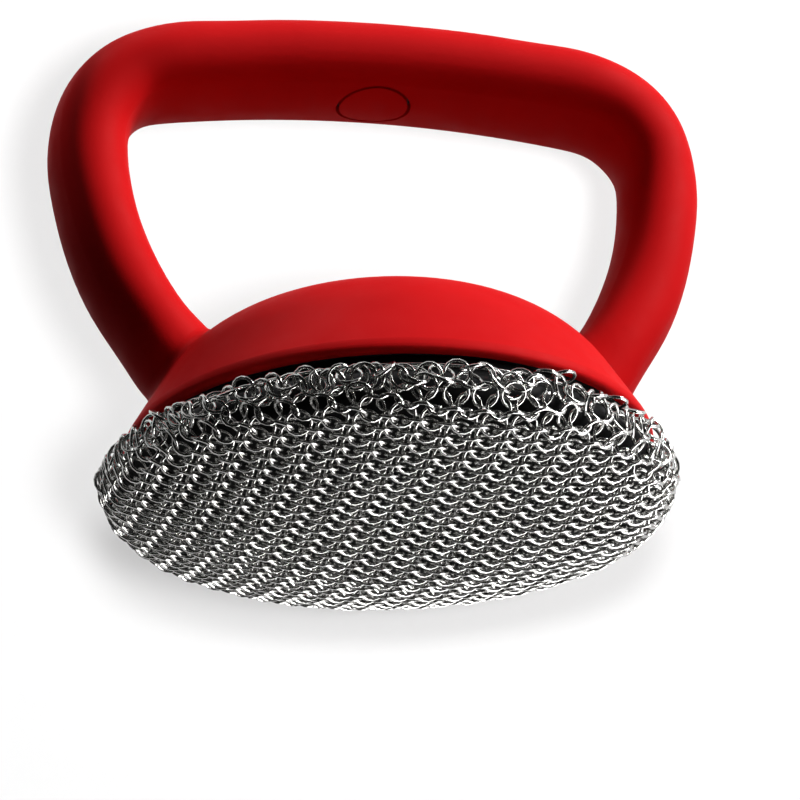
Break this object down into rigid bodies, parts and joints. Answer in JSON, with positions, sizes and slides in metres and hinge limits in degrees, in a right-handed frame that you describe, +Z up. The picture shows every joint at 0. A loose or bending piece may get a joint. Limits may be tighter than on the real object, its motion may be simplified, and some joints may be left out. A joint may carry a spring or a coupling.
{
  "type": "pot scrubber",
  "caption": "Hand-held pot scrubber: a red soft-touch loop handle on a flared dome, and under it a black pad in a stainless chainmail cover.",
  "frame": {"origin": "bottom centre of the part, under the middle of the mail", "axes": "+Z up, out of the top of the grip; +X along the grip; +Y away from the front"},
  "size_m": [0.1472, 0.125, 0.122],
  "materials": {
    "red_soft_touch": "satin soft-touch elastomer",
    "core_plastic": "moulded",
    "stainless_steel": "bright drawn wire",
    "brass": "turned",
    "black_silicone": "matte"
  },
  "bodies": {
    "root": {"handle_skin": "red_soft_touch", "handle_core": "core_plastic", "grip_plug": "red_soft_touch", "clamp_screw": "stainless_steel", "screw_washer": "stainless_steel", "threaded_insert": "brass", "carrier_plate": "core_plastic", "scrub_pad": "black_silicone", "edge_wire": "stainless_steel", "mail_base": "stainless_steel", "mail_field": "stainless_steel", "mail_skirt": "stainless_steel"}
  },
  "joints": []
}
